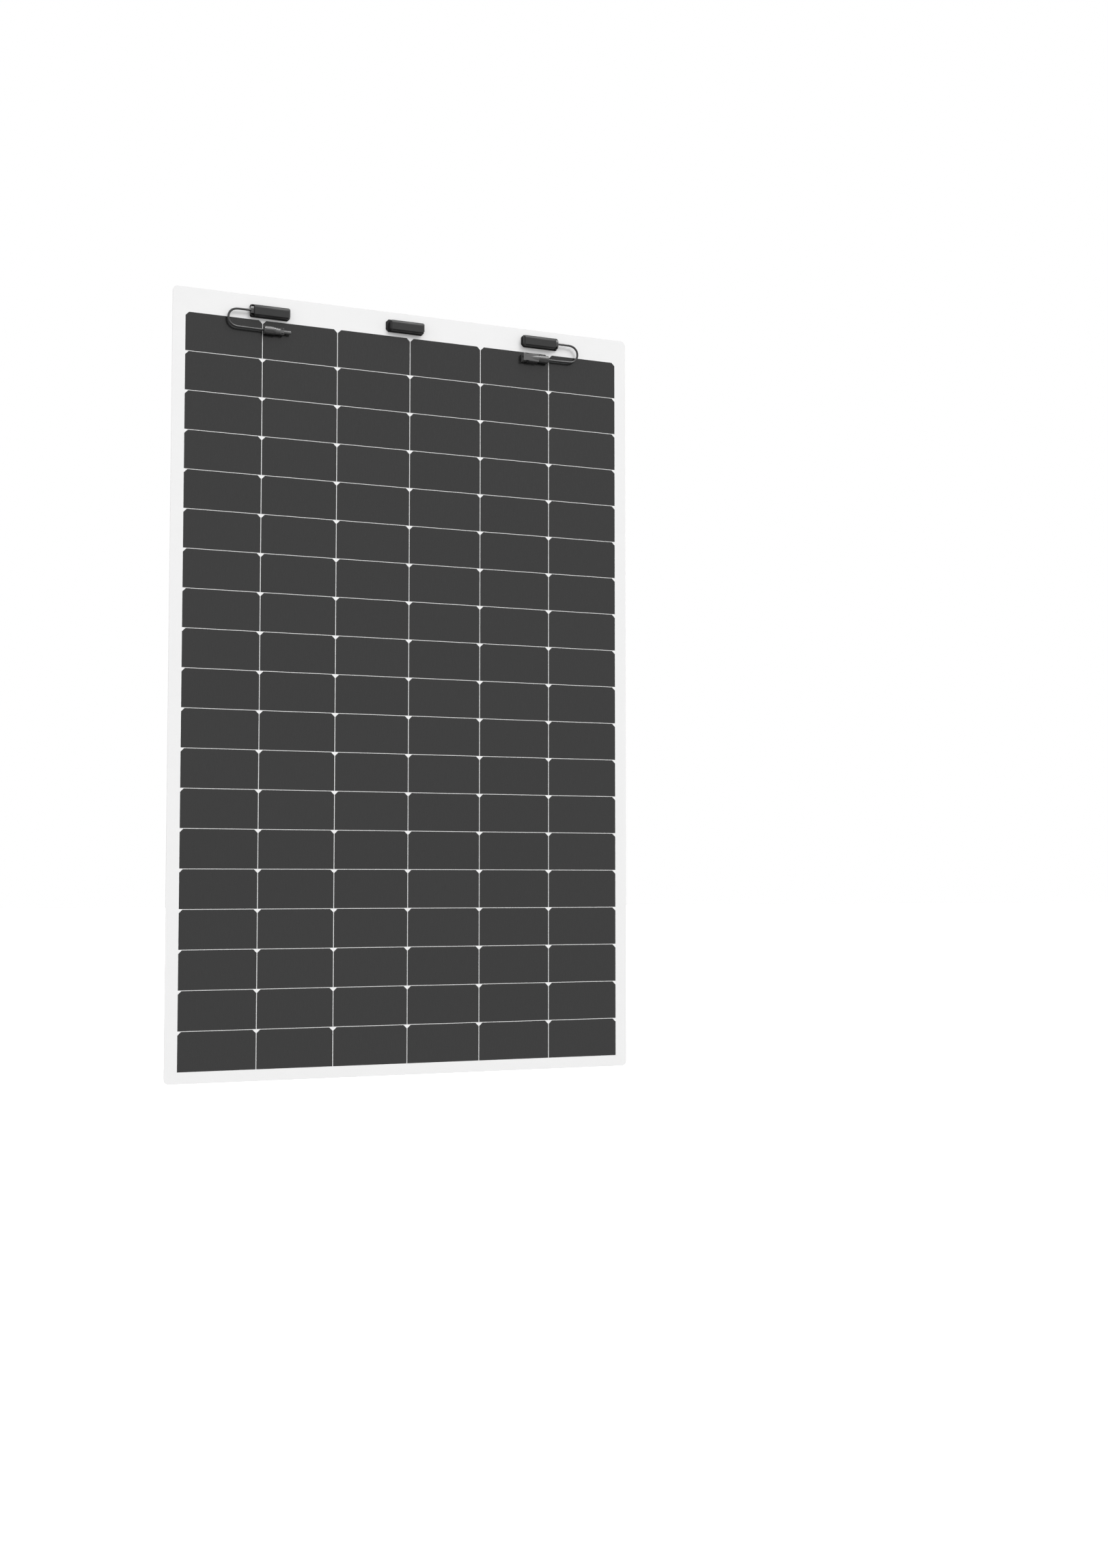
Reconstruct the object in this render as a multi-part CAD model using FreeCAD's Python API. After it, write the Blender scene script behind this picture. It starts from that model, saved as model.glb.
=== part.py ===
"""Flexible solar sheet: a white laminate with half-cut cells, three junction boxes and two leads.

The sheet stands upright. X runs along its short side, Z up its long side and Y through it, with
the cells facing -Y. The origin is on the back face, in the middle of the middle row of cells.
Heights "h" are measured out of the front face, towards -Y. All sizes are in millimetres.
"""
import FreeCAD
import Part
import math
import os

# ---- the sheet -------------------------------------------------------------------------------
COLUMNS = 6
ROWS = 19
CELL_W = 182.0            # a 182 x 183.75 wafer, cut in half
CELL_H = 91.88
CELL_T = 0.2
CELL_CHAMFER = 8.2        # on the two upper corners, where the wafer's own corners were
GAP_X = 1.5
GAP_Z = 1.2
MARGIN_TOP = 58.5
MARGIN_BOTTOM = 26.5
MARGIN_SIDE = 29.5
SHEET_T = 2.4
CORNER_R = 12.0
HINGE_SLIT = 0.2          # hairline between two strips, along each bending line

PITCH_X = CELL_W + GAP_X
PITCH_Z = CELL_H + GAP_Z
HALF_W = COLUMNS * PITCH_X / 2 + MARGIN_SIDE
ARRAY_TOP = ROWS * PITCH_Z / 2

# ---- bus ribbons in the laminate ---------------------------------------------------------------
RIBBON_W = 5.0
RIBBON_T = 0.2
RIBBON_TOP_Z = ARRAY_TOP + 24.0
RIBBON_BOTTOM_Z = -ARRAY_TOP - 9.0
RIBBON_END_INSET = 20.0   # from the edge of the outer cell to the end of the ribbon

# ---- junction boxes: (centre x, centre z, side of the cable entry or 0) ------------------------
BOXES = {
    "left": (-350.0, 903.8, -1),
    "middle": (-14.0, 908.3, 0),
    "right": (340.5, 911.6, 1),
}
BASE_L = 97.0
BASE_W = 31.0
BASE_CHAMFER = 6.5
BASE_CORNER_R = 5.0
FLANGE_T = 2.0
LID_L = 86.5
LID_W = 27.0
LID_TOP = 18.5
LID_WALL = 2.0
LID_CROWN_R = 10.0        # the long upper edge, a wide round that sheds water
LID_FOOT_R = 2.5          # the long lower edge
LID_BEVEL = 3.5
LID_CHAMFER = 5.0
LID_ENTRY_BEVEL = 1.0
LID_ENTRY_CHAMFER = 2.5
LID_ROOM_TOP = 12.6
CLOSED_FLANGE = 2.5       # from the closed end of the base to the lid
TRAY_L = BASE_L - LID_L - CLOSED_FLANGE   # the open cable tray, from the base's end to the lid
TRAY_TOP = 9.5
TUB_WALL = 1.6
TUB_TOP = 12.0
TUB_PLAY = 0.5            # between the tub and the lid around it
CLAMP_INSET = 0.6         # from the end of the base to the saddle and its lock
SADDLE_LOW = 7.3          # below the lead's axis
SADDLE_HIGH = 3.1         # above it
LOCK_HIGH = 9.0
SADDLE_TOP = 3.6          # of the saddle, in front of the lead's axis
GROOVE_FLOOR = 2.9        # of the groove along the saddle, in front of the lead's axis
GROOVE_Z = (-3.8, -3.1)   # from the lead's axis
LOCK_TOP = 3.2            # of the lock, in front of the lead's axis
LOCK_EDGE_R = 1.0
TERMINAL_X = 15.0         # of each terminal, from the middle of the box
TERMINAL_W = 4.0
TERMINAL_T = 1.5
TERMINAL_SLOT = 6.0       # side of the opening in the flange for a terminal's foot
DIODE_R = 2.7
DIODE_L = 9.0
DIODE_SUNK = 2.0          # from the diode's axis down to the terminals' top
DIODE_LEAD_R = 0.6
SLIP = 0.2                # between mouldings that are pushed together
NOTCH_PLAY = 0.3          # round the lead where it enters a lid
OVERCUT = 1.0             # how far a cutting shape passes a face

# ---- leads and connectors -----------------------------------------------------------------------
CABLE_D = 5.2
AXIS_H = 10.6             # height of the cable's axis above the front face
BORE_PLAY = 0.02
NUT_R = 9.6
NUT_FACETS = 6
NUT_NOSE_L = 2.0          # the chamfer at the nut's lead end, along the axis
NUT_NOSE_IN = 1.6         # the same, towards the axis
NUT_FLAT_IN = 0.55        # depth of the grip's flats
NUT_FLAT_INSET = 3.5      # from each end of the nut
NUT_PLAY = 0.1            # between the nut and the thread inside it
ENTRY_PLAY = 0.15         # between the nut's end and the lead
TAIL_R = 7.5
CONTACT_R = 1.6
CRIMP_R = 2.2
PIN_R = 1.5
SEAL_R = 7.4
SEAL_L = 10.0

# the x coordinates along each connector's axis, from the nut to the mating end
SOCKET = {"nut": -366.9, "seal": -362.2, "crimp": -352.0, "shoulder": -340.0, "collar": -327.5,
          "nose": -319.0, "tip": -301.0}
PLUG = {"nut": 361.5, "seal": 356.7, "crimp": 346.5, "shoulder": 333.5, "floor": 318.5,
        "mouth": 292.5}
BARREL_R = (8.4, 7.4)     # at the nut and at the collar
NOSE_R = 4.0
NOSE_CHAMFER = (0.8, 0.6)             # along the axis and towards it
COLLAR_EDGE_R = 1.0
WINDOW_Z = (4.1, 6.3)                 # of the collar's latch windows, from the axis
WINDOW_INSET = 0.8                    # from the collar's ends
SLEEVE_FROM_TIP = 2.5                 # from the socket's tip to its sleeve contact
SLEEVE_DEPTH = 14.0
SLEEVE_BORE_R = 1.0
SOCKET_CRIMP_IN = 2.8                 # how far the crimp reaches past the shoulder
PLUG_CRIMP_IN = 9.8
CRIMP_PLAY = 0.3                      # round the crimp
CRIMP_GAP = 0.2                       # from the crimp's end to the stem of the body, and behind it
PIN_L = 13.5
PIN_POINT_L = 1.5
COLLAR_Z = 7.5
COLLAR_H = 5.2
SHELL_HALF = 10.0
SHELL_FRONT = 7.8         # from the axis to the flat front of the shell
SHELL_EDGE_R = 2.0
SWELL_X = 311.5           # where the round end starts to swell out of the flat front
SWELL_R = 9.9
SHELL_BORE_R = 4.6
NOTCH = (298.5, 306.5, 1.7)          # first x, last x and depth of the notches near the mouth
LATCH_SLOT = (296.0, 326.3, 4.4)     # first x, last x and depth of the latch's slot
LATCH_ROOT_X = 326.0
LATCH_TIP_X = 307.0
LATCH_HALF_W = 3.6
LATCH_IN = 7.6                       # from the axis to the inner face of a latch
LATCH_OUT = 9.8
LATCH_RIBS_X = (310.0, 313.0, 316.0)
LATCH_PLAY = 0.6                      # beside the latch in its slot
RIB_W = 1.2
RIB_HIGH = 0.7
RIB_SUNK = 0.1

# ---- routes of the two leads, as (x, z) corners in the plane of the cable's axis ---------------
LEFT_ROUTE = [
    (-389.0, 902.3), (-413.0, 902.3), (-438.7, 902.0), (-451.3, 889.4), (-451.3, 871.8),
    (-438.7, 859.3), (-417.1, 858.9), (-395.4, 858.7), (-373.6, 858.6), (-352.0, 858.6),
]
RIGHT_ROUTE = [
    (379.5, 911.3), (403.5, 911.3), (429.1, 911.0), (441.7, 898.4), (441.7, 880.8),
    (429.1, 868.2), (408.5, 867.8), (387.8, 867.6), (367.1, 867.5), (346.5, 867.5),
]
ARC_SHARE = 0.45          # of the shorter run beside a corner


def vec(x, h, z):
    """A point at a height above the front face."""
    return FreeCAD.Vector(x, -SHEET_T - h, z)


def block(x0, x1, h0, h1, z0, z1):
    """A box between two x, two heights above the front face and two z, in either order."""
    low = vec(min(x0, x1), max(h0, h1), min(z0, z1))
    return Part.makeBox(abs(x1 - x0), abs(h1 - h0), abs(z1 - z0), low)


def rod(x0, x1, h, z, r):
    """A round bar along X."""
    return Part.makeCylinder(r, abs(x1 - x0), vec(min(x0, x1), h, z), FreeCAD.Vector(1, 0, 0))


def cone(x0, x1, h, z, r0, r1):
    """A round bar along X whose radius changes from r0 at x0 to r1 at x1."""
    way = FreeCAD.Vector(1 if x1 > x0 else -1, 0, 0)
    return Part.makeCone(r0, r1, abs(x1 - x0), vec(x0, h, z), way)


def plate(outline, h0, h1):
    """A plate parallel to the sheet, from its outline as (x, z) points."""
    points = [vec(x, h0, z) for x, z in outline]
    face = Part.Face(Part.makePolygon(points + points[:1]))
    return face.extrude(FreeCAD.Vector(0, h0 - h1, 0))


def profile_bar(outline, x0, x1):
    """A bar along X, from its outline as (h, z) points."""
    points = [vec(x0, h, z) for h, z in outline]
    face = Part.Face(Part.makePolygon(points + points[:1]))
    return face.extrude(FreeCAD.Vector(x1 - x0, 0, 0))


def rounded_edges(solid, radius, along, keep):
    """The solid with a fillet on its straight edges that run along a direction and pass keep()."""
    edges = []
    for edge in solid.Edges:
        if not isinstance(edge.Curve, Part.Line):
            continue
        ends = [v.Point for v in edge.Vertexes]
        way = (ends[1] - ends[0]).normalize()
        if abs(abs(way.dot(along)) - 1) < 1e-6 and keep(edge.CenterOfMass):
            edges.append(edge)
    return solid.makeFillet(radius, edges)


def fuse(first, *others):
    """One solid made of several that touch or overlap."""
    for other in others:
        first = first.fuse(other)
    return first.removeSplitter()


# ---- sheet ---------------------------------------------------------------------------------------
def row_span(row):
    """The lower and upper z of a row of cells, counted from 1 at the top."""
    top = ARRAY_TOP - (row - 1) * PITCH_Z
    return top - PITCH_Z, top


def cell(column, row):
    """One half cell, flush with the front face."""
    x0 = -COLUMNS * PITCH_X / 2 + column * PITCH_X + GAP_X / 2
    x1 = x0 + CELL_W
    z0 = row_span(row)[0] + GAP_Z / 2
    z1 = z0 + CELL_H
    outline = [
        (x0, z0), (x1, z0), (x1, z1 - CELL_CHAMFER), (x1 - CELL_CHAMFER, z1),
        (x0 + CELL_CHAMFER, z1), (x0, z1 - CELL_CHAMFER),
    ]
    return plate(outline, -CELL_T, 0)


def strip(row, inlays):
    """One row's strip of the laminate, with pockets for what lies in its front face."""
    low, high = row_span(row)
    low += HINGE_SLIT / 2
    high -= HINGE_SLIT / 2
    if row == 1:
        high += MARGIN_TOP + HINGE_SLIT / 2
    if row == ROWS:
        low -= MARGIN_BOTTOM + HINGE_SLIT / 2
    solid = block(-HALF_W, HALF_W, -SHEET_T, 0, low, high)
    through = FreeCAD.Vector(0, 1, 0)
    if row == 1:
        solid = rounded_edges(solid, CORNER_R, through, lambda p: p.z > high - 1)
    if row == ROWS:
        solid = rounded_edges(solid, CORNER_R, through, lambda p: p.z < low + 1)
    for inlay in inlays:
        solid = solid.cut(inlay)
    return solid


def ribbon(x0, x1, bar_z, cell_z, tabs):
    """A flat bus ribbon along X, with a tab from each column's cells."""
    bar = block(x0, x1, -RIBBON_T, 0, bar_z - RIBBON_W / 2, bar_z + RIBBON_W / 2)
    return fuse(bar, *[block(x - RIBBON_W / 2, x + RIBBON_W / 2, -RIBBON_T, 0, bar_z, cell_z)
                       for x in tabs])


def column_x(column):
    """The middle of a column of cells."""
    return (column - (COLUMNS - 1) / 2) * PITCH_X


def top_ribbons():
    """Four ribbons that join the ends of the columns to the terminals in the boxes."""
    ends = [-column_x(COLUMNS - 1) - RIBBON_END_INSET]
    for x, _, _ in BOXES.values():
        ends += [x - TERMINAL_X, x + TERMINAL_X]
    ends.append(column_x(COLUMNS - 1) + RIBBON_END_INSET)
    tabs = [[0], [1, 2], [3, 4], [5]]
    top_cell_z = ARRAY_TOP - GAP_Z / 2
    return [ribbon(ends[2 * i], ends[2 * i + 1], RIBBON_TOP_Z, top_cell_z,
                   [column_x(c) for c in tabs[i]]) for i in range(len(tabs))]


def bottom_ribbons():
    """Three ribbons, each joining two columns at their foot."""
    foot_z = -ARRAY_TOP + GAP_Z / 2
    return [ribbon(column_x(c) - RIBBON_END_INSET, column_x(c + 1) + RIBBON_END_INSET,
                   RIBBON_BOTTOM_Z, foot_z, [column_x(c), column_x(c + 1)])
            for c in range(0, COLUMNS, 2)]


# ---- junction boxes ------------------------------------------------------------------------------
def box_ends(name):
    """The x of a box's entry end and closed end, and the direction from the one to the other."""
    x, _, entry = BOXES[name]
    inward = -entry if entry else 1
    return x - inward * BASE_L / 2, x + inward * BASE_L / 2, inward


def octagon(x0, x1, z, half_w, chamfers):
    """The outline of a long plate, with its own chamfer at each end."""
    first, last = chamfers
    way = 1 if x1 > x0 else -1
    return [
        (x0 + way * first, z - half_w), (x1 - way * last, z - half_w),
        (x1, z - half_w + last), (x1, z + half_w - last),
        (x1 - way * last, z + half_w), (x0 + way * first, z + half_w),
        (x0, z + half_w - first), (x0, z - half_w + first),
    ]


def round_end(solid, x, radius):
    """The solid with a fillet on its edges that stand on the sheet at x."""
    return rounded_edges(solid, radius, FreeCAD.Vector(0, 1, 0), lambda p: abs(p.x - x) < 0.5)


def lid_corners(entry):
    """The chamfers at the lid's two ends, which the tub and the room inside it follow."""
    return (LID_ENTRY_CHAMFER if entry else LID_CHAMFER), LID_CHAMFER


def box_base(name):
    """The flange that is bonded to the sheet, with the tub that holds the terminals."""
    x, z, entry = BOXES[name]
    outer, closed, way = box_ends(name)
    half_w = BASE_W / 2
    base = plate(octagon(outer, closed, z, half_w, (BASE_CHAMFER, BASE_CHAMFER)), 0, FLANGE_T)
    first = outer + way * (TRAY_L + LID_WALL + TUB_PLAY)
    last = closed - way * (CLOSED_FLANGE + LID_WALL + TUB_PLAY)
    half_tub = LID_W / 2 - LID_WALL - TUB_PLAY
    tub = plate(octagon(first, last, z, half_tub, lid_corners(entry)), 0, TUB_TOP)
    room = plate(octagon(first + way * TUB_WALL, last - way * TUB_WALL, z, half_tub - TUB_WALL,
                         lid_corners(entry)), FLANGE_T, TUB_TOP + OVERCUT)
    base = fuse(base, tub).cut(room)
    if entry:
        axis_z = route_of(name)[0][1]
        tray_end = outer + way * (TRAY_L - SLIP / 2)
        half_tray = LID_W / 2
        foot = block(outer, tray_end, 0, FLANGE_T, z - half_w, z + half_w)
        tray = block(outer, tray_end, 0, TRAY_TOP, z - half_tray, z + half_tray)
        inner = outer + way * TUB_WALL
        half_hollow = half_tray - TUB_WALL
        hollow = block(inner, tray_end + way * OVERCUT, FLANGE_T, TRAY_TOP + OVERCUT,
                       z - half_hollow, z + half_hollow)
        hollow = round_end(hollow, inner, BASE_CORNER_R - TUB_WALL)
        opening = block(outer - way * OVERCUT, inner + way * OVERCUT, FLANGE_T,
                        TRAY_TOP + OVERCUT, axis_z - SADDLE_LOW - SLIP,
                        axis_z + LOCK_HIGH + SLIP)
        tray = round_end(tray, outer, BASE_CORNER_R).cut(hollow).cut(opening)
        base = fuse(base, round_end(foot, outer, BASE_CORNER_R), tray)
        base = base.cut(rod(first - way * OVERCUT, first + way * (TUB_WALL + OVERCUT),
                            AXIS_H, axis_z, CONTACT_R + BORE_PLAY))
    half_slot = TERMINAL_SLOT / 2
    for side in (-1, 1):
        slot_x = x + side * TERMINAL_X
        base = base.cut(block(slot_x - half_slot, slot_x + half_slot, -OVERCUT,
                              FLANGE_T + OVERCUT, RIBBON_TOP_Z - half_slot,
                              RIBBON_TOP_Z + half_slot))
    return base


def box_lid(name):
    """The cover over the tub, with long rounded edges and a bevel at each end."""
    _, z, entry = BOXES[name]
    outer, closed, way = box_ends(name)
    x1 = closed - way * CLOSED_FLANGE
    x0 = x1 - way * LID_L
    half_w = LID_W / 2
    entry_bevel = LID_ENTRY_BEVEL if entry else LID_BEVEL
    body = plate(octagon(x0, x1, z, half_w, lid_corners(entry)), FLANGE_T, LID_TOP)
    bar = profile_bar([(FLANGE_T, z - half_w), (LID_TOP, z - half_w),
                       (LID_TOP, z + half_w), (FLANGE_T, z + half_w)], x0, x1)
    for way_z, radius in ((1, LID_CROWN_R), (-1, LID_FOOT_R)):
        bar = rounded_edges(bar, radius, FreeCAD.Vector(1, 0, 0),
                            lambda p: p.y < -SHEET_T - AXIS_H and way_z * (p.z - z) > 0)
    side = [(x0, FLANGE_T), (x0, LID_TOP - entry_bevel), (x0 + way * entry_bevel, LID_TOP),
            (x1 - way * LID_BEVEL, LID_TOP), (x1, LID_TOP - LID_BEVEL), (x1, FLANGE_T)]
    points = [vec(x, h, z - half_w) for x, h in side]
    wedge = Part.Face(Part.makePolygon(points + points[:1])).extrude(FreeCAD.Vector(0, 0, LID_W))
    lid = body.common(bar).common(wedge)
    room = plate(octagon(x0 + way * LID_WALL, x1 - way * LID_WALL, z, half_w - LID_WALL,
                         lid_corners(entry)), FLANGE_T - OVERCUT, LID_ROOM_TOP)
    lid = lid.cut(room)
    if entry:
        axis_z = route_of(name)[0][1]
        notch_r = CABLE_D / 2 + NOTCH_PLAY
        notch_x0 = x0 - way * OVERCUT
        notch_x1 = x0 + way * (LID_WALL + OVERCUT)
        lid = lid.cut(rod(notch_x0, notch_x1, AXIS_H, axis_z, notch_r))
        lid = lid.cut(block(notch_x0, notch_x1, FLANGE_T - OVERCUT, AXIS_H,
                            axis_z - notch_r, axis_z + notch_r))
    return lid


def terminal(name, side):
    """A bent terminal: a foot on the ribbon, a post up into the box, and a crimp for the lead."""
    x, z, entry = BOXES[name]
    bar_x = x + side * TERMINAL_X
    top = AXIS_H - CRIMP_R
    half = TERMINAL_W / 2
    post = block(bar_x - half, bar_x + half, 0, top, RIBBON_TOP_Z - half, RIBBON_TOP_Z + half)
    low, high = min(RIBBON_TOP_Z, z), max(RIBBON_TOP_Z, z)
    parts = [post, block(bar_x - half, bar_x + half, top - TERMINAL_T, top,
                         low - half, high + half)]
    if entry == side:
        start, axis_z = route_of(name)[0]
        low, high = min(axis_z, z), max(axis_z, z)
        parts.append(rod(start, bar_x, AXIS_H, axis_z, CONTACT_R))
        parts.append(block(bar_x - half, bar_x + half, top - TERMINAL_T, AXIS_H,
                           low - half, high + half))
    return fuse(*parts)


def diode(name):
    """The bypass diode: an axial body whose leads end on the two terminals."""
    x, z, _ = BOXES[name]
    seat = AXIS_H - CRIMP_R
    axis = seat + DIODE_R - DIODE_SUNK
    body = rod(x - DIODE_L / 2, x + DIODE_L / 2, axis, z, DIODE_R)
    lead_end = TERMINAL_X - TERMINAL_W / 2
    lead = rod(x - lead_end, x + lead_end, seat - TERMINAL_T / 2, z, DIODE_LEAD_R)
    return fuse(body, lead)


def cable_clamp(name):
    """The saddle that holds the lead in the entry of its box, with a groove along its top."""
    outer, _, way = box_ends(name)
    axis_z = route_of(name)[0][1]
    x0, x1 = outer + way * CLAMP_INSET, outer + way * (TRAY_L - SLIP)
    saddle = block(x0, x1, FLANGE_T, AXIS_H + SADDLE_TOP, axis_z - SADDLE_LOW,
                   axis_z + SADDLE_HIGH)
    groove = block(x0 - way * OVERCUT, x1 + way * OVERCUT, AXIS_H + GROOVE_FLOOR,
                   AXIS_H + SADDLE_TOP + OVERCUT, axis_z + GROOVE_Z[0], axis_z + GROOVE_Z[1])
    hole = rod(outer, outer + way * (TRAY_L + OVERCUT), AXIS_H, axis_z, CABLE_D / 2 + BORE_PLAY)
    return saddle.cut(groove).cut(hole)


def clamp_lock(name):
    """The wedge pushed in beside the saddle to lock it."""
    outer, _, way = box_ends(name)
    axis_z = route_of(name)[0][1]
    x0, x1 = outer + way * CLAMP_INSET, outer + way * (TRAY_L - CLAMP_INSET)
    lock = block(x0, x1, FLANGE_T, AXIS_H + LOCK_TOP, axis_z + SADDLE_HIGH + SLIP,
                 axis_z + LOCK_HIGH)
    return rounded_edges(lock, LOCK_EDGE_R, FreeCAD.Vector(1, 0, 0),
                         lambda p: p.y < -SHEET_T - AXIS_H)


# ---- leads ---------------------------------------------------------------------------------------
def route_of(name):
    """The route of the lead that leaves a box."""
    return LEFT_ROUTE if name == "left" else RIGHT_ROUTE


def lead(name):
    """A lead along its route, as straight runs joined by tangent arcs."""
    points = [vec(x, AXIS_H, z) for x, z in route_of(name)]
    edges, radii = [], []
    start = points[0]
    for before, corner, after in zip(points, points[1:], points[2:]):
        run_in, run_out = corner - before, after - corner
        shorter = min(run_in.Length, run_out.Length)
        half_turn = run_in.getAngle(run_out) / 2
        tangent = ARC_SHARE * shorter
        radius = tangent / math.tan(half_turn)
        radii.append(radius)
        way_in, way_out = run_in.normalize(), run_out.normalize()
        arc_start = corner - way_in * tangent
        arc_end = corner + way_out * tangent
        middle_way = (way_out - way_in).normalize()
        apex = corner + middle_way * (radius / math.cos(half_turn) - radius)
        edges.append(Part.LineSegment(start, arc_start).toShape())
        edges.append(Part.Arc(arc_start, apex, arc_end).toShape())
        start = arc_end
    edges.append(Part.LineSegment(start, points[-1]).toShape())
    wire = Part.Wire(edges)
    way = (points[1] - points[0]).normalize()
    section = Part.Wire(Part.makeCircle(CABLE_D / 2, points[0], way))
    tube = wire.makePipeShell([section], True, True)
    expected = math.pi * CABLE_D ** 2 / 4 * wire.Length
    share = tube.Volume / expected
    print(f"{name} lead: {wire.Length:.1f} mm, volume / (section x length) = {share:.4f}")
    print("  radii", ", ".join(f"{r:.0f}" for r in radii))
    return tube


# ---- connectors ----------------------------------------------------------------------------------
def gland_nut(place, axis_z):
    """The nut that squeezes the seal round the lead: a six-sided grip between round ends."""
    way = 1 if place["shoulder"] > place["nut"] else -1
    x0, x1 = place["nut"], place["shoulder"]
    nose = cone(x0, x0 + way * NUT_NOSE_L, AXIS_H, axis_z, NUT_R - NUT_NOSE_IN, NUT_R)
    barrel = rod(x0 + way * NUT_NOSE_L, x1, AXIS_H, axis_z, NUT_R)
    nut = fuse(nose, barrel)
    step = 360 / NUT_FACETS
    for i in range(NUT_FACETS):
        flat = Part.makeBox(abs(x1 - x0) - 2 * NUT_FLAT_INSET, NUT_R, 2 * NUT_R)
        flat.translate(FreeCAD.Vector(min(x0, x1) + NUT_FLAT_INSET, NUT_R - NUT_FLAT_IN, -NUT_R))
        flat.rotate(FreeCAD.Vector(0, 0, 0), FreeCAD.Vector(1, 0, 0), (i + 0.5) * step)
        flat.translate(vec(0, AXIS_H, axis_z))
        nut = nut.cut(flat)
    nut = nut.cut(rod(x0 - way * OVERCUT, x1, AXIS_H, axis_z, CABLE_D / 2 + ENTRY_PLAY))
    return nut.cut(rod(place["seal"] - way * CRIMP_GAP, x1 + way * OVERCUT, AXIS_H, axis_z,
                       TAIL_R + NUT_PLAY))


def cable_seal(place, axis_z):
    """The rubber sleeve between the nut and the lead."""
    way = 1 if place["shoulder"] > place["nut"] else -1
    x0 = place["seal"]
    sleeve = rod(x0, x0 + way * SEAL_L, AXIS_H, axis_z, SEAL_R)
    return sleeve.cut(rod(x0 - way * OVERCUT, x0 + way * (SEAL_L + OVERCUT), AXIS_H, axis_z,
                          CABLE_D / 2 + BORE_PLAY))


def tail(place, axis_z, depth):
    """The threaded tail of a connector's body, inside the nut, and the room for the crimp."""
    way = 1 if place["shoulder"] > place["nut"] else -1
    x0 = place["crimp"] + way * CRIMP_GAP
    solid = rod(x0, place["shoulder"], AXIS_H, axis_z, TAIL_R)
    room = rod(x0 - way * OVERCUT, place["shoulder"] + way * depth, AXIS_H, axis_z,
               CRIMP_R + CRIMP_PLAY)
    return solid, room


def socket_body():
    """The slim connector's body: barrel, collar with two latch windows, and nose."""
    axis_z = LEFT_ROUTE[-1][1]
    stem, room = tail(SOCKET, axis_z, SOCKET_CRIMP_IN + CRIMP_GAP)
    barrel = cone(SOCKET["shoulder"], SOCKET["collar"], AXIS_H, axis_z, *BARREL_R)
    collar = block(SOCKET["collar"], SOCKET["nose"], AXIS_H - COLLAR_H, AXIS_H + COLLAR_H,
                   axis_z - COLLAR_Z, axis_z + COLLAR_Z)
    collar = rounded_edges(collar, COLLAR_EDGE_R, FreeCAD.Vector(1, 0, 0), lambda p: True)
    along, inwards = NOSE_CHAMFER
    end_x = SOCKET["tip"] - along
    nose = rod(SOCKET["collar"], end_x, AXIS_H, axis_z, NOSE_R)
    end = cone(end_x, SOCKET["tip"], AXIS_H, axis_z, NOSE_R, NOSE_R - inwards)
    body = fuse(stem, barrel, collar, nose, end)
    near, far = WINDOW_Z
    for side in (-1, 1):
        body = body.cut(block(SOCKET["collar"] + WINDOW_INSET, SOCKET["nose"] - WINDOW_INSET,
                              AXIS_H - NUT_R, AXIS_H + NUT_R,
                              axis_z + side * near, axis_z + side * far))
    body = body.cut(room)
    return body.cut(rod(SOCKET["shoulder"], SOCKET["tip"] + OVERCUT, AXIS_H, axis_z,
                        CONTACT_R + BORE_PLAY))


def socket_contact():
    """The tinned sleeve contact, crimped to the lead's end."""
    axis_z = LEFT_ROUTE[-1][1]
    front = SOCKET["tip"] - SLEEVE_FROM_TIP
    crimp_end = SOCKET["shoulder"] + SOCKET_CRIMP_IN
    crimp = rod(SOCKET["crimp"], crimp_end, AXIS_H, axis_z, CRIMP_R)
    sleeve = rod(crimp_end, front, AXIS_H, axis_z, CONTACT_R)
    bore = rod(front - SLEEVE_DEPTH, front + OVERCUT, AXIS_H, axis_z, SLEEVE_BORE_R)
    return fuse(crimp, sleeve).cut(bore)


def plug_body():
    """The wide connector's body: a square shell round a bore, with notches and latch slots."""
    axis_z = RIGHT_ROUTE[-1][1]
    stem, room = tail(PLUG, axis_z, PLUG_CRIMP_IN + CRIMP_GAP)
    shell = block(PLUG["mouth"], PLUG["shoulder"], AXIS_H - SHELL_HALF, AXIS_H + SHELL_FRONT,
                  axis_z - SHELL_HALF, axis_z + SHELL_HALF)
    shell = rounded_edges(shell, SHELL_EDGE_R, FreeCAD.Vector(1, 0, 0), lambda p: True)
    swell = cone(SWELL_X, PLUG["shoulder"], AXIS_H, axis_z, SHELL_FRONT, SWELL_R)
    body = fuse(shell, swell, stem)
    outside = SHELL_HALF + OVERCUT
    for side in (-1, 1):
        for (first, last, depth), half_w in ((NOTCH, outside),
                                             (LATCH_SLOT, LATCH_HALF_W + LATCH_PLAY)):
            body = body.cut(block(first, last, AXIS_H - half_w, AXIS_H + half_w,
                                  axis_z + side * (SHELL_HALF - depth), axis_z + side * outside))
    body = body.cut(room)
    body = body.cut(rod(PLUG["floor"] - OVERCUT, PLUG["shoulder"], AXIS_H, axis_z,
                        CONTACT_R + BORE_PLAY))
    return body.cut(rod(PLUG["mouth"] - OVERCUT, PLUG["floor"], AXIS_H, axis_z, SHELL_BORE_R))


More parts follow.
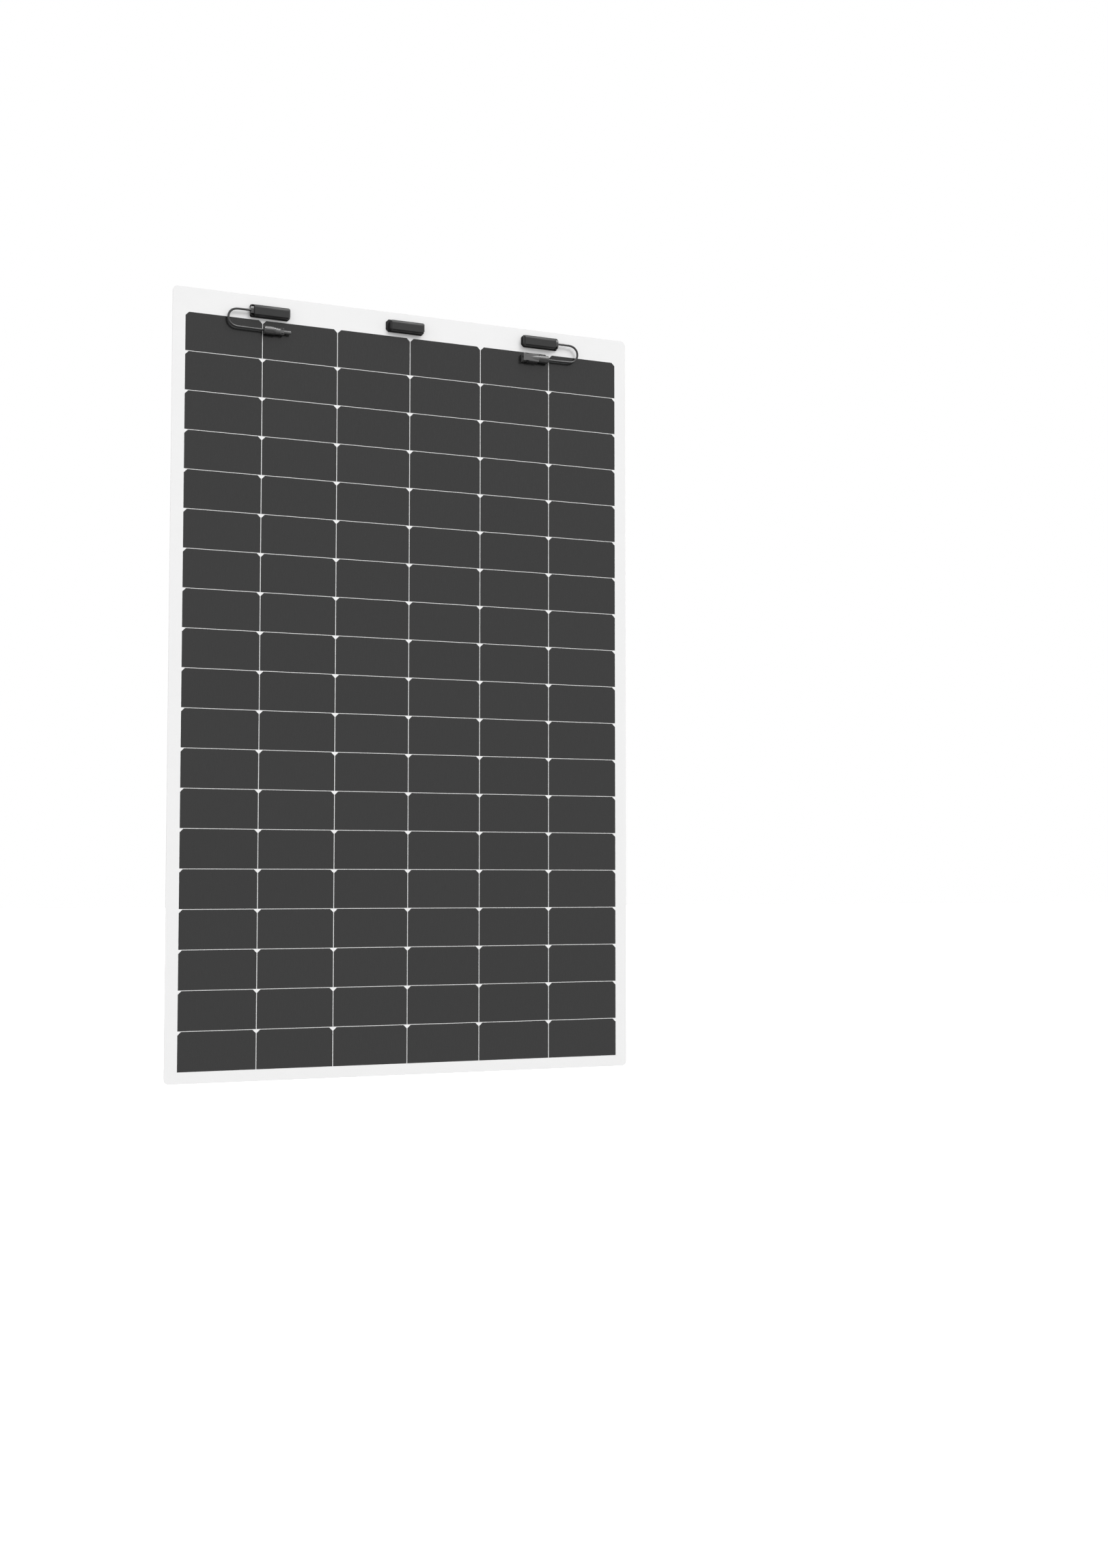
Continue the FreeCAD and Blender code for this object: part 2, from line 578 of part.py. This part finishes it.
def plug_contact():
    """The tinned pin contact, crimped to the lead's end."""
    axis_z = RIGHT_ROUTE[-1][1]
    crimp_end = PLUG["shoulder"] - PLUG_CRIMP_IN
    pin_end = PLUG["floor"] - PIN_L
    crimp = rod(crimp_end, PLUG["crimp"], AXIS_H, axis_z, CRIMP_R)
    neck = rod(PLUG["floor"], crimp_end, AXIS_H, axis_z, CONTACT_R)
    pin = rod(pin_end, PLUG["floor"], AXIS_H, axis_z, PIN_R)
    point = cone(pin_end, pin_end - PIN_POINT_L, AXIS_H, axis_z, PIN_R, PIN_R / 2)
    return fuse(crimp, neck, pin, point)


def latch(side):
    """One spring arm of the wide connector, with three ribs for the fingertip."""
    axis_z = RIGHT_ROUTE[-1][1]
    arm = block(LATCH_TIP_X, LATCH_ROOT_X, AXIS_H - LATCH_HALF_W, AXIS_H + LATCH_HALF_W,
                axis_z + side * LATCH_IN, axis_z + side * LATCH_OUT)
    half_rib = LATCH_HALF_W - LATCH_PLAY
    ribs = [block(x, x + RIB_W, AXIS_H - half_rib, AXIS_H + half_rib,
                  axis_z + side * (LATCH_OUT - RIB_SUNK), axis_z + side * (LATCH_OUT + RIB_HIGH))
            for x in LATCH_RIBS_X]
    return fuse(arm, *ribs)


# ---- all nodes -----------------------------------------------------------------------------------
def group(solids):
    """Separate solids that share a node."""
    return Part.makeCompound(solids)


def make_nodes():
    """Every node's name and shape."""
    nodes = {}
    ribbons = {1: top_ribbons(), ROWS: bottom_ribbons()}
    for row in range(1, ROWS + 1):
        cells = [cell(column, row) for column in range(COLUMNS)]
        nodes[f"laminate_{row:02d}"] = strip(row, cells + ribbons.get(row, []))
        nodes[f"cells_{row:02d}"] = group(cells)
    nodes["bus_ribbons_top"] = group(ribbons[1])
    nodes["bus_ribbons_bottom"] = group(ribbons[ROWS])
    for name in BOXES:
        nodes[f"box_base_{name}"] = box_base(name)
        nodes[f"box_lid_{name}"] = box_lid(name)
    nodes["bypass_diodes"] = group([diode(name) for name in BOXES])
    nodes["terminals"] = group([terminal(name, side) for name in BOXES for side in (-1, 1)])
    leads = [name for name, (_, _, entry) in BOXES.items() if entry]
    nodes["cable_clamps"] = group([cable_clamp(name) for name in leads])
    nodes["clamp_locks"] = group([clamp_lock(name) for name in leads])
    for name in leads:
        nodes[f"cable_{name}"] = lead(name)
    nodes["socket_body"] = socket_body()
    nodes["socket_nut"] = gland_nut(SOCKET, LEFT_ROUTE[-1][1])
    nodes["plug_body"] = plug_body()
    nodes["plug_nut"] = gland_nut(PLUG, RIGHT_ROUTE[-1][1])
    nodes["latch_upper"] = latch(1)
    nodes["latch_lower"] = latch(-1)
    nodes["contacts"] = group([socket_contact(), plug_contact()])
    nodes["cable_seals"] = group([cable_seal(SOCKET, LEFT_ROUTE[-1][1]),
                                  cable_seal(PLUG, RIGHT_ROUTE[-1][1])])
    return nodes


def main():
    os.makedirs("parts", exist_ok=True)
    for name, shape in make_nodes().items():
        assert shape.isValid(), name
        shape.exportStep(f"parts/{name}.step")
        print(f"{name}: {len(shape.Solids)} solid(s), {shape.Volume / 1000:.2f} cm3")


main()
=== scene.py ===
"""Looks of the flexible solar sheet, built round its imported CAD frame.

Everything is in metres in the row frame: X right, Z up, the cells face -Y and the back face of
the laminate is at y = 0.
"""
import math
import random

import bmesh
import bpy
import numpy as np
from mathutils import Matrix, Vector


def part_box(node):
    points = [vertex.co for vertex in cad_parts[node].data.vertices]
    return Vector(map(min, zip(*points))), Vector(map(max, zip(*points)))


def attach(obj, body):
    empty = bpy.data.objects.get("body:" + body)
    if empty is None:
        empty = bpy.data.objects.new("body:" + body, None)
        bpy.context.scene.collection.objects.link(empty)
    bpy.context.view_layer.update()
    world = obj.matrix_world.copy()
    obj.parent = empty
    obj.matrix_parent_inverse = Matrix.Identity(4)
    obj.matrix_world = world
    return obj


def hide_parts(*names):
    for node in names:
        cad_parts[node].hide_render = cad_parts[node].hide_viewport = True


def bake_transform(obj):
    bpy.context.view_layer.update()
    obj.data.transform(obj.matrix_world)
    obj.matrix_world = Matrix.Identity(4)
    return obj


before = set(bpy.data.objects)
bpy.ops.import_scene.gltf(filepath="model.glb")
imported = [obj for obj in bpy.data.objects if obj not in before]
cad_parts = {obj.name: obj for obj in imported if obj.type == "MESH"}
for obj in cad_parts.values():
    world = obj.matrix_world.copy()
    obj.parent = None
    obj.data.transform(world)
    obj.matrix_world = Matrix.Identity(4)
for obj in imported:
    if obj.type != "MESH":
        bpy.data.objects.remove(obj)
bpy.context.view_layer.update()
scene = bpy.context.scene
rng = random.Random(7)

# ---- camera ------------------------------------------------------------------------------------
CAMERA_AT = Vector((-1.32923, -4.14853, -0.45230))
CAMERA_LOOK = Vector((0.38092, 0.92295, 0.05531))
CAMERA_UP = Vector((-0.0211, -0.0511, 0.9985))
CAMERA_LENS = 41.21
CAMERA_SENSOR = 36.0


def make_camera():
    """The main view: from the front left, a little below the middle and looking slightly up."""
    data = bpy.data.cameras.new("camera")
    data.lens = CAMERA_LENS
    data.sensor_width = CAMERA_SENSOR
    camera = bpy.data.objects.new("camera", data)
    scene.collection.objects.link(camera)
    look = CAMERA_LOOK.normalized()
    right = look.cross(CAMERA_UP).normalized()
    up = right.cross(look)
    turn = Matrix((right, up, -look)).transposed().to_4x4()
    camera.matrix_world = Matrix.Translation(CAMERA_AT) @ turn
    scene.camera = camera


make_camera()

# ---- leads -------------------------------------------------------------------------------------
MM = 0.001                # the routes are in millimetres
CABLE_D = 0.0052
CABLE_Y = -0.0130
LEFT_ROUTE = [
    (-389.0, 902.3), (-413.0, 902.3), (-438.7, 902.0), (-451.3, 889.4), (-451.3, 871.8),
    (-438.7, 859.3), (-417.1, 858.9), (-395.4, 858.7), (-373.6, 858.6), (-352.0, 858.6),
]
RIGHT_ROUTE = [
    (379.5, 911.3), (403.5, 911.3), (429.1, 911.0), (441.7, 898.4), (441.7, 880.8),
    (429.1, 868.2), (408.5, 867.8), (387.8, 867.6), (367.1, 867.5), (346.5, 867.5),
]


def make_lead(name, route):
    """One lead, along the same route as its CAD tube."""
    curve = bpy.data.curves.new(name, "CURVE")
    curve.dimensions = "3D"
    spline = curve.splines.new("NURBS")
    spline.points.add(len(route) - 1)
    for point, (x, z) in zip(spline.points, route):
        point.co = (x * MM, CABLE_Y, z * MM, 1)
        point.radius = CABLE_D / 2
    spline.order_u = 3
    spline.use_endpoint_u = True
    spline.resolution_u = 16
    curve.bevel_depth = 1.0       # times each point's radius, which also sets the curve's box
    curve.bevel_resolution = 8
    curve.use_fill_caps = True
    lead = bpy.data.objects.new(name, curve)
    scene.collection.objects.link(lead)
    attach(lead, "strip_01")
    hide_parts(name.replace("lead_", "cable_"))
    x, z = route[0]
    return lead


leads = [
    make_lead("lead_left", LEFT_ROUTE),
    make_lead("lead_right", RIGHT_ROUTE),
]


# ---- materials ---------------------------------------------------------------------------------
LAMINATE_WHITE = 0.78
CELL_GREY = 0.0135
JACKET_GREY = 0.034
RUBBER_GREY = 0.05
FINGER_PITCH = 0.0014     # of the lines printed on the cells
EMBOSSING = 620.0         # grains of the clear film to the metre


class Shader:
    """A Principled material, with short calls to add its pattern nodes."""

    def __init__(self, name, **values):
        self.material = bpy.data.materials.new(name)
        self.material.use_nodes = True
        self.tree = self.material.node_tree
        self.surface = self.tree.nodes["Principled BSDF"]
        self.set(**values)

    def set(self, **values):
        """Set or link the shader's own sockets, named with _ for a space."""
        for key, value in values.items():
            self.join(value, self.surface.inputs[key.replace("_", " ")])

    def join(self, value, socket):
        """Link an output to a socket, or write a number or colour in it."""
        if isinstance(value, bpy.types.NodeSocket):
            self.tree.links.new(value, socket)
        elif isinstance(value, bpy.types.Node):
            self.tree.links.new(value.outputs[0], socket)
        elif value is not None:
            socket.default_value = value

    def add(self, kind, *inputs, **settings):
        """A node, with its inputs in order; None leaves one as it is."""
        node = self.tree.nodes.new("ShaderNode" + kind)
        for key, value in settings.items():
            setattr(node, key, value)
        for value, socket in zip(inputs, node.inputs):
            self.join(value, socket)
        return node

    def math(self, operation, *inputs):
        """A Math node."""
        return self.add("Math", *inputs, operation=operation)

    def place(self):
        """Where a point lies on the object at rest."""
        if not hasattr(self, "_place"):
            self._place = self.add("TexCoord").outputs["Object"]
        return self._place

    def rest_place(self):
        """The same, from the rest place that a piece's vertices carry."""
        if not hasattr(self, "_rest"):
            self._rest = self.add("Attribute", attribute_name="rest_place").outputs["Vector"]
        return self._rest

    def noise(self, where, scale, detail=2.0, roughness=0.5):
        """A noise value, from 0 to 1."""
        node = self.add("TexNoise", where, None, scale, detail, roughness)
        return node.outputs[0]

    def spread(self, value, low, high):
        """A value from 0 to 1, as one from low to high."""
        return self.add("MapRange", value, 0.0, 1.0, low, high).outputs[0]

    def tint(self, colour, share):
        """A colour made lighter or darker by a factor."""
        node = self.add("VectorMath", tuple(colour), operation="SCALE")
        self.join(share, node.inputs["Scale"])
        return node.outputs[0]

    def bump(self, height, strength, distance, under=None):
        """A bumped normal, from a height, on top of another one if there is one."""
        node = self.add("Bump")
        node.inputs["Strength"].default_value = strength
        node.inputs["Distance"].default_value = distance
        self.join(height, node.inputs["Height"])
        self.join(under, node.inputs["Normal"])
        return node.outputs[0]


def grey(value):
    """A neutral colour."""
    return (value, value, value)


def lit(value):
    """The same, as a shader's colour socket takes it."""
    return (value, value, value, 1.0)


def laminate_material():
    """White back sheet under a clear embossed film: fine speckle, soft gloss, faint waviness."""
    look = Shader("white_laminate", Coat_Weight=0.12, Coat_Roughness=0.3)
    place = look.rest_place()
    speckle = look.spread(look.noise(place, 900, 3, 0.65), 0.955, 1.045)
    clouds = look.spread(look.noise(place, 9, 2), 0.985, 1.015)
    share = look.math("MULTIPLY", speckle, clouds)
    look.set(Base_Color=look.tint(grey(LAMINATE_WHITE), share))
    film = look.add("TexVoronoi", place, None, EMBOSSING, feature="SMOOTH_F1").outputs[0]
    waves = look.noise(place, 26, 2)
    look.set(Normal=look.bump(waves, 0.10, 0.004, look.bump(film, 0.12, 0.0004)))
    look.set(Roughness=look.spread(look.noise(place, 180, 2), 0.40, 0.52))
    return look.material


def cell_material():
    """Dark silicon under the clear film: each cell its own tone, fine printed fingers, mottling."""
    look = Shader("silicon_cell")
    place = look.rest_place()
    x = look.add("SeparateXYZ", place).outputs[0]
    tone = look.add("Attribute", attribute_name="cell_tone").outputs["Fac"]
    fingers = look.math("SINE", look.math("MULTIPLY", x, 2 * math.pi / FINGER_PITCH))
    lines = look.math("MULTIPLY_ADD", fingers, 0.10, 1.0)
    stretched = look.add("Mapping", place, None, None, (700.0, 1.0, 40.0)).outputs[0]
    streaks = look.spread(look.noise(stretched, 1.0, 2, 0.6), 0.80, 1.20)
    mottle = look.spread(look.noise(place, 55, 4, 0.6), 0.94, 1.06)
    grain = look.math("MULTIPLY", streaks, look.spread(look.noise(place, 900, 2), 0.90, 1.10))
    share = look.math("MULTIPLY", look.math("MULTIPLY", lines, mottle),
                      look.math("MULTIPLY", tone, grain))
    look.set(Base_Color=look.tint(grey(CELL_GREY), share))
    film = look.add("TexVoronoi", place, None, EMBOSSING, feature="SMOOTH_F1").outputs[0]
    look.set(Normal=look.bump(film, 0.05, 0.0002))
    look.set(Roughness=look.spread(look.noise(place, 140, 3), 0.17, 0.25))
    return look.material


def moulded(name, base, rough, grain=0.35, specular=0.35):
    """Moulded plastic: fine spark-eroded grain, faint flow marks and a little rubbed dust."""
    look = Shader(name, Specular_IOR_Level=specular)
    place = look.place()
    flow = look.add("Mapping", place, None, None, (90.0, 260.0, 260.0)).outputs[0]
    marks = look.spread(look.noise(flow, 1.0, 3, 0.6), 0.86, 1.14)
    dust = look.spread(look.noise(place, 700, 4, 0.7), 0.90, 1.10)
    look.set(Base_Color=look.tint(grey(base), look.math("MULTIPLY", marks, dust)))
    pits = look.noise(place, 2600, 2, 0.6)
    look.set(Normal=look.bump(pits, grain, 0.00025))
    look.set(Roughness=look.spread(look.noise(place, 240, 3), rough - 0.06, rough + 0.06))
    return look.material


def cable_material():
    """A satin black jacket: fine lines along the extrusion and small scuffs."""
    look = Shader("cable_jacket", Specular_IOR_Level=0.45)
    place = look.place()
    along = look.add("Mapping", place, None, None, (60.0, 2400.0, 900.0)).outputs[0]
    drawn = look.noise(along, 1.0, 2)
    scuffs = look.noise(place, 420, 4, 0.7)
    share = look.math("MULTIPLY", look.spread(drawn, 0.9, 1.1), look.spread(scuffs, 0.88, 1.12))
    look.set(Base_Color=look.tint(grey(JACKET_GREY), share))
    look.set(Normal=look.bump(drawn, 0.15, 0.0002))
    look.set(Roughness=look.spread(scuffs, 0.28, 0.38))
    return look.material


def metal(name, colour, rough):
    """Tinned or plated metal, with drawn scratches and uneven polish."""
    look = Shader(name, Metallic=1.0)
    place = look.place()
    along = look.add("Mapping", place, None, None, (150.0, 3000.0, 3000.0)).outputs[0]
    drawn = look.noise(along, 1.0, 3)
    look.set(Base_Color=look.tint(colour, look.spread(drawn, 0.9, 1.05)))
    look.set(Normal=look.bump(drawn, 0.12, 0.0001))
    look.set(Roughness=look.spread(look.noise(place, 300, 3), rough - 0.07, rough + 0.07))
    return look.material


def rubber_material():
    """Matt silicone rubber with a dusty bloom."""
    look = Shader("seal_rubber", Specular_IOR_Level=0.3)
    place = look.place()
    bloom = look.noise(place, 500, 4, 0.7)
    look.set(Base_Color=look.tint(grey(RUBBER_GREY), look.spread(bloom, 0.8, 1.25)))
    look.set(Normal=look.bump(bloom, 0.2, 0.0002), Roughness=look.spread(bloom, 0.62, 0.82))
    return look.material


white = laminate_material()
silicon = cell_material()
box_plastic = moulded("box_plastic", 0.016, 0.46, 0.3, 0.22)
lid_plastic = moulded("lid_plastic", 0.024, 0.46, 0.22, 0.24)
lock_plastic = moulded("lock_plastic", 0.27, 0.45, 0.2, 0.4)
clamp_plastic = moulded("clamp_plastic", 0.05, 0.45)
shell_plastic = moulded("connector_plastic", 0.095, 0.34, 0.12, 0.35)
nut_plastic = moulded("nut_plastic", 0.060, 0.30, 0.06, 0.45)
jacket = cable_material()
tin = metal("tinned_copper", (0.78, 0.77, 0.74), 0.30)
plated = metal("plated_contact", (0.80, 0.79, 0.76), 0.24)
diode_epoxy = moulded("diode_epoxy", 0.02, 0.4)
rubber = rubber_material()

for lead in leads:
    lead.data.materials.append(jacket)

# ---- laminate and cells, in pieces from the middle of one row to the middle of the next --------
ROWS = 19
COLUMNS = 6
FRONT = -0.00245          # covers the CAD ribbons, which lie flush with the strips' front
BACK = 0.0
EDGE = 0.0005
CORNER_R = 0.012
CELL_FRONT = -0.00252
CELL_BACK = -0.00242
CELL_GAP = 0.0015
CELL_CHAMFER = 0.0082
STEP = 0.0067             # between the levels of a mesh
TINY = 1e-6
CREASE = math.radians(40)
TONE_SPREAD = 0.06        # from one cell to the next

sheet_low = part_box(f"laminate_{ROWS:02d}")[0]
sheet_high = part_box("laminate_01")[1]
HALF_W = sheet_high.x
cell_rows = [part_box(f"cells_{row:02d}") for row in range(1, ROWS + 1)]
middles = [(low.z + high.z) / 2 for low, high in cell_rows]
pitch_x = (cell_rows[0][1].x - cell_rows[0][0].x + CELL_GAP) / COLUMNS


def loft(loops):
    """Vertices and faces of a closed form through loops of the same number of points."""
    count = len(loops[0])
    points = [point for loop in loops for point in loop]
    faces = [tuple(range(count))]
    for level in range(len(loops) - 1):
        for k in range(count):
            a, b = level * count + k, level * count + (k + 1) % count
            faces.append((b, a, a + count, b + count))
    faces.append(tuple(reversed(range(len(points) - count, len(points)))))
    return points, faces


def mesh_object(name, parts, material, tones=None):
    """One object out of lofted parts, with its rest place (and a tone per part) on its vertices."""
    points, faces, values = [], [], []
    for number, (part_points, part_faces) in enumerate(parts):
        start = len(points)
        points += part_points
        faces += [tuple(start + k for k in face) for face in part_faces]
        values += [tones[number] if tones else 1.0] * len(part_points)
    mesh = bpy.data.meshes.new(name)
    mesh.from_pydata(points, [], faces)
    mesh.validate()
    fix_normals(mesh)
    place = mesh.attributes.new("rest_place", "FLOAT_VECTOR", "POINT")
    place.data.foreach_set("vector", np.array(points, np.float32).ravel())
    if tones:
        tone = mesh.attributes.new("cell_tone", "FLOAT", "POINT")
        tone.data.foreach_set("value", np.array(values, np.float32))
    mesh.shade_smooth()
    mesh.set_sharp_from_angle(angle=CREASE)
    mesh.materials.append(material)
    made = bpy.data.objects.new(name, mesh)
    scene.collection.objects.link(made)
    return made


def fix_normals(mesh):
    """Turn the faces outwards."""
    shape = bmesh.new()
    shape.from_mesh(mesh)
    bmesh.ops.recalc_face_normals(shape, faces=shape.faces)
    shape.to_mesh(mesh)
    shape.free()


def levels(top, bottom, extra=()):
    """Levels from top to bottom about STEP apart, with any extra ones between them."""
    count = max(1, round((top - bottom) / STEP))
    found = list(np.linspace(top, bottom, count + 1))
    found += [z for z in extra if bottom < z < top]
    found.sort(reverse=True)
    return [z for k, z in enumerate(found) if k == 0 or found[k - 1] - z > 10 * TINY]


def half_width(z):
    """Half the sheet's width at a height, with its rounded corners."""
    over = max(z - (sheet_high.z - CORNER_R), (sheet_low.z + CORNER_R) - z, 0)
    return HALF_W - CORNER_R + math.sqrt(max(CORNER_R ** 2 - over ** 2, 0))


def laminate_loop(z):
    """The sheet's cross-section at a height: thin, with eased edges."""
    half = half_width(z)
    inset = EDGE if min(sheet_high.z - z, z - sheet_low.z) < TINY else 0.0
    front, back = FRONT + inset, BACK - inset
    right = [(half - EDGE, front), (half, front + EDGE), (half, back - EDGE), (half - EDGE, back)]
    left = [(-x, y) for x, y in reversed(right)]
    return [(x, y, z) for x, y in right + left]


def laminate_part(top, bottom):
    """The laminate between two heights, with enough levels for its rounded corners."""
    depths = [CORNER_R * (1 - math.sin(math.radians(a))) for a in range(10, 90, 10)] + [EDGE]
    extra = [sheet_high.z - d for d in depths] + [sheet_low.z + d for d in depths]
    return loft([laminate_loop(z) for z in levels(top, bottom, extra)])


def cell_part(row, column, top, bottom):
    """What lies between two heights of one cell."""
    low, high = cell_rows[row][0].z, cell_rows[row][1].z
    x0 = (column - COLUMNS / 2) * pitch_x + CELL_GAP / 2
    x1 = x0 + pitch_x - CELL_GAP
    chamfer_z = high - CELL_CHAMFER
    loops = []
    for z in levels(min(top, high), max(bottom, low), [chamfer_z]):
        cut = max(0.0, z - chamfer_z)
        loops.append([(x0 + cut, CELL_FRONT, z), (x1 - cut, CELL_FRONT, z),
                      (x1 - cut, CELL_BACK, z), (x0 + cut, CELL_BACK, z)])
    return loft(loops)


tones = [[rng.uniform(1 - TONE_SPREAD, 1 + TONE_SPREAD) for _ in range(COLUMNS)]
         for _ in range(ROWS)]


def cells_between(top, bottom, rows):
    """The cells of some rows between two heights, and their tones."""
    parts, values = [], []
    for row in rows:
        for column in range(COLUMNS):
            parts.append(cell_part(row, column, top, bottom))
            values.append(tones[row][column])
    return parts, values


for piece in range(ROWS + 1):
    top = sheet_high.z if piece == 0 else middles[piece - 1]
    bottom = sheet_low.z if piece == ROWS else middles[piece]
    rows = [row for row in (piece - 1, piece) if 0 <= row < ROWS]
    parts, values = cells_between(top, bottom, rows)
    film = mesh_object(f"sheet_{piece:02d}", [laminate_part(top, bottom)], white)
    dark = mesh_object(f"solar_cells_{piece:02d}", parts, silicon, values)
    for made in (film, dark):
        if piece in (0, ROWS):
            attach(made, f"strip_{min(piece + 1, ROWS):02d}")
        else:
            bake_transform(made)
    node = min(piece + 1, ROWS)
    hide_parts(f"laminate_{node:02d}")
    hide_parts(f"cells_{node:02d}")

# ---- the CAD pieces that show, with their finishes ---------------------------------------------
FINISHES = {
    "box_base_left": box_plastic, "box_base_middle": box_plastic, "box_base_right": box_plastic,
    "box_lid_left": lid_plastic, "box_lid_middle": lid_plastic, "box_lid_right": lid_plastic,
    "cable_clamps": clamp_plastic, "clamp_locks": lock_plastic,
    "socket_body": shell_plastic, "plug_body": shell_plastic,
    "socket_nut": nut_plastic, "plug_nut": nut_plastic,
    "latch_upper": shell_plastic, "latch_lower": shell_plastic,
    "contacts": plated, "terminals": tin, "bypass_diodes": diode_epoxy,
    "bus_ribbons_top": tin, "bus_ribbons_bottom": tin, "cable_seals": rubber,
}
EASED = {"box_base": 0.0005, "box_lid": 0.0006, "socket_body": 0.0003, "plug_body": 0.0004,
         "latch": 0.0002, "clamp": 0.0003}      # width of the eased edges
EASED_FROM = math.radians(32)

for name, finish in FINISHES.items():
    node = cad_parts[name]
    node.data.materials.clear()
    node.data.materials.append(finish)
    for prefix, width in EASED.items():
        if name.startswith(prefix):
            weld = node.modifiers.new("weld", "WELD")
            weld.merge_threshold = TINY
            bevel = node.modifiers.new("eased edges", "BEVEL")
            bevel.width = width
            bevel.segments = 2
            bevel.limit_method = "ANGLE"
            bevel.angle_limit = EASED_FROM
            bevel.harden_normals = True

# ---- studio ------------------------------------------------------------------------------------
FLOOR_HALF = 30.0
FLOOR_DROP = 0.0005
FLOOR_GREY = 0.93
# The surround's brightness fades between two heights of a unit direction: (from, to, low, high).
WORLD_FADES = ((-0.85, -0.10, 0.12, 0.94), (0.45, 0.85, 0.0, 0.30))
KEY_TOWARDS = (0.35, -0.75, 0.56)
HIGHLIGHT_TOWARDS = (0.27, -0.46, 0.845)
BEHIND_TOWARDS = (-0.35, 0.85, 0.40)


def make_floor():
    """A plain pale floor under the sheet's lower edge."""
    look = Shader("pale_floor", Roughness=0.9, Specular_IOR_Level=0.1)
    stains = look.spread(look.noise(look.place(), 3, 3), 0.985, 1.0)
    look.set(Base_Color=look.tint(grey(FLOOR_GREY), stains))
    look.set(Emission_Color=lit(1.0), Emission_Strength=0.55)
    z = sheet_low.z - FLOOR_DROP
    mesh = bpy.data.meshes.new("floor")
    corners = [(-1, -1), (1, -1), (1, 1), (-1, 1)]
    mesh.from_pydata([(x * FLOOR_HALF, y * FLOOR_HALF, z) for x, y in corners], [], [(0, 1, 2, 3)])
    mesh.materials.append(look.material)
    floor = bpy.data.objects.new("floor", mesh)
    scene.collection.objects.link(floor)
    floor.visible_diffuse = False
    floor.visible_glossy = False


def make_sun(name, towards, strength, angle, diffuse=True, glossy=True):
    """A soft distant light, from a direction towards it."""
    data = bpy.data.lights.new(name, "SUN")
    data.energy = strength
    data.angle = math.radians(angle)
    sun = bpy.data.objects.new(name, data)
    sun.rotation_mode = "QUATERNION"
    sun.rotation_quaternion = Vector(towards).to_track_quat("Z", "Y")
    scene.collection.objects.link(sun)
    sun.visible_diffuse = diffuse
    sun.visible_glossy = glossy


def make_world():
    """An even white surround for the view, and softer light that fades towards the ground."""
    world = bpy.data.worlds.new("studio")
    world.use_nodes = True
    scene.world = world
    tree = world.node_tree
    back = tree.nodes["Background"]
    path = tree.nodes.new("ShaderNodeLightPath")
    way = tree.nodes.new("ShaderNodeTexCoord")
    parts = tree.nodes.new("ShaderNodeSeparateXYZ")
    tree.links.new(way.outputs["Generated"], parts.inputs[0])
    total = tree.nodes.new("ShaderNodeMath")
    for number, fades in enumerate(WORLD_FADES):
        fade = tree.nodes.new("ShaderNodeMapRange")
        fade.interpolation_type = "SMOOTHSTEP"
        for socket, value in zip(list(fade.inputs)[1:5], fades):
            socket.default_value = value
        tree.links.new(parts.outputs[2], fade.inputs[0])
        tree.links.new(fade.outputs[0], total.inputs[number])
    pick = tree.nodes.new("ShaderNodeMix")
    tree.links.new(path.outputs["Is Camera Ray"], pick.inputs[0])
    tree.links.new(total.outputs[0], pick.inputs[2])
    pick.inputs[3].default_value = 1.0
    tree.links.new(pick.outputs[0], back.inputs["Strength"])
    back.inputs["Color"].default_value = lit(1.0)


make_floor()
make_world()
make_sun("key", KEY_TOWARDS, 1.32, 30, glossy=False)
make_sun("highlight", HIGHLIGHT_TOWARDS, 3.0, 24, diffuse=False)
make_sun("behind", BEHIND_TOWARDS, 0.6, 50, glossy=False)
scene.view_settings.view_transform = "Standard"
scene.view_settings.look = "None"
